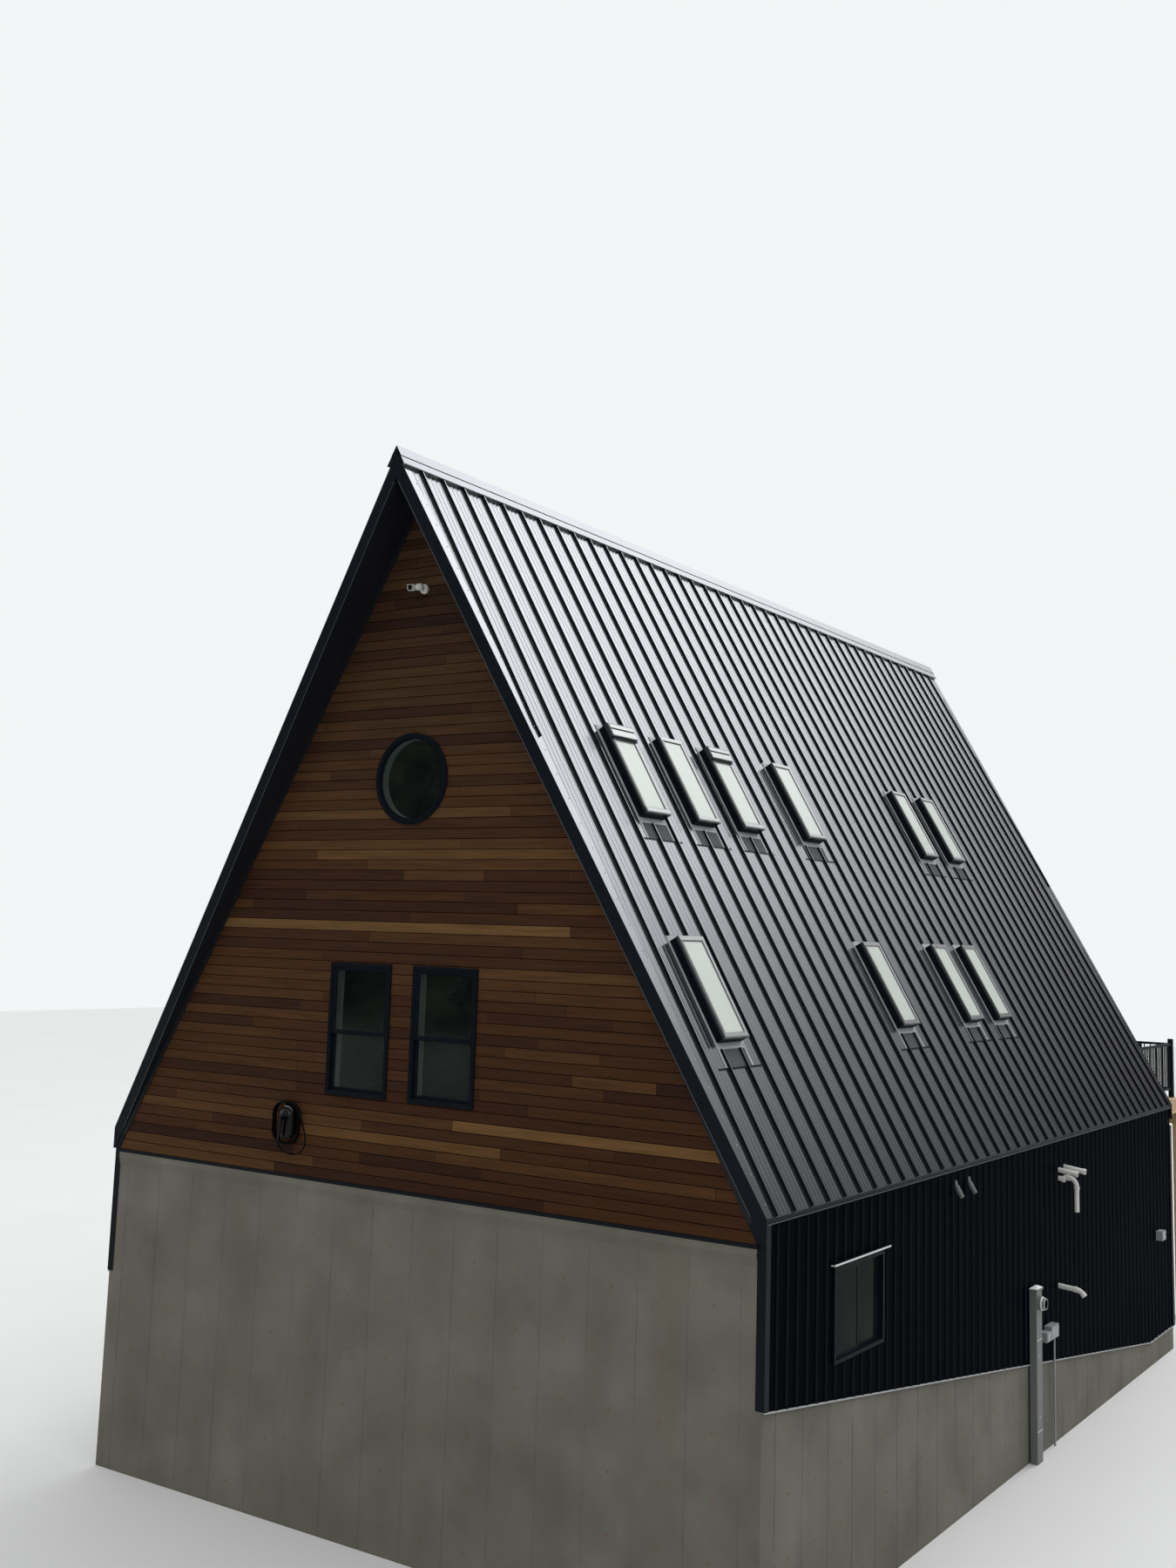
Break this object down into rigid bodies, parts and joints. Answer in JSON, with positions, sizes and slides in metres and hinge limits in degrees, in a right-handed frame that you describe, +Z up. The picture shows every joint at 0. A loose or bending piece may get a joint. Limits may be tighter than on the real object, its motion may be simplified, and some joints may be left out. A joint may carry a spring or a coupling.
{
  "type": "a-frame cabin",
  "caption": "A-frame cabin with steep standing-seam metal slopes to the eaves, boarded gables, skylights, a ribbed metal lower storey and a rear deck.",
  "frame": {"origin": "middle of the front foundation wall's bottom face, at the lowest ground level", "axes": "+Z up, the front gable faces -Y, the ridge runs along Y, +X is the side with the pipes and the meter"},
  "size_m": [10.126, 19.1, 12.7684],
  "materials": {
    "concrete": "matt cast concrete",
    "framing": "plain",
    "black_metal": "satin",
    "cedar": "oiled boards",
    "charcoal_metal": "satin",
    "dark_frame": "satin",
    "glazing": "clear",
    "pale_metal": "satin",
    "deck_timber": "rough",
    "white_plastic": "matt",
    "black_plastic": "gloss",
    "grey_enclosure": "satin"
  },
  "bodies": {
    "root": {"foundation": "concrete", "lower_floor": "concrete", "side_walls": "framing", "rear_lower_wall": "framing", "lower_siding": "black_metal", "wall_trims": "black_metal", "main_floor": "framing", "loft_floor": "framing", "front_gable_wall": "framing", "front_boarding": "cedar", "rear_gable_wall": "framing", "rear_boarding": "cedar", "roof_decks": "framing", "roof_metal": "charcoal_metal", "ridge_cap": "charcoal_metal", "rake_trims": "black_metal", "soffits": "black_metal", "eave_flashings": "black_metal", "skylight_frames": "dark_frame", "skylight_glass": "glazing", "skylight_flashings": "charcoal_metal", "gable_window_frames": "dark_frame", "round_window_frames": "dark_frame", "slider_frames": "dark_frame", "window_sashes": "dark_frame", "window_glass": "glazing", "slider_flashings": "pale_metal", "rear_door": "dark_frame", "deck_boards": "deck_timber", "deck_frame": "deck_timber", "deck_beam": "deck_timber", "deck_posts": "deck_timber", "deck_railing_rear": "black_metal", "deck_railing_right": "black_metal", "deck_railing_left": "black_metal", "security_camera": "white_plastic", "wall_charger": "black_plastic", "charger_coil": "black_plastic", "cable_lead": "black_plastic", "cable_loop": "black_plastic", "charger_connector": "black_plastic", "exhaust_vents": "pale_metal", "pvc_pipes": "white_plastic", "meter_pedestal": "grey_enclosure", "service_boxes": "grey_enclosure"}
  },
  "joints": []
}
